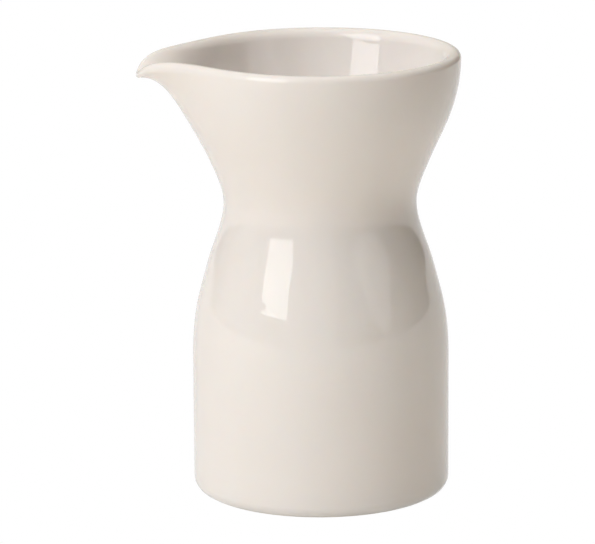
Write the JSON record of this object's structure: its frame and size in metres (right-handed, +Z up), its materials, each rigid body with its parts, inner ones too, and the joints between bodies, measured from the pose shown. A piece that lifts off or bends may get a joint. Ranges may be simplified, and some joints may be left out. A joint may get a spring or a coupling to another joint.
{
  "type": "cream jug",
  "caption": "Handle-less porcelain cream jug: straight lower body, waisted neck, flared rim drawn out into a beak spout, plain cream-white gloss glaze and a bare ground foot ring.",
  "frame": {"origin": "centre of the standing face of the foot ring, on the axis of the round body", "axes": "+Z up the jug's axis, -X towards the tip of the spout, the XZ plane is the jug's plane of symmetry"},
  "size_m": [0.0832, 0.0724, 0.115],
  "materials": {
    "fired_clay": "dense vitrified porcelain, matte, covered everywhere by the glaze",
    "ground_foot": "bare porcelain, ground flat, matte and very slightly grey from use",
    "cream_glaze": "clear, glossy glaze over cream-white porcelain, with a faint warm tone and a few pinprick specks",
    "recess_glaze": "the same glossy glaze, a little thicker and warmer where it pooled in the recess"
  },
  "bodies": {
    "root": {"porcelain_body": "fired_clay", "foot_ring": "ground_foot", "glaze_coat": "cream_glaze", "base_glaze": "recess_glaze"}
  },
  "joints": []
}
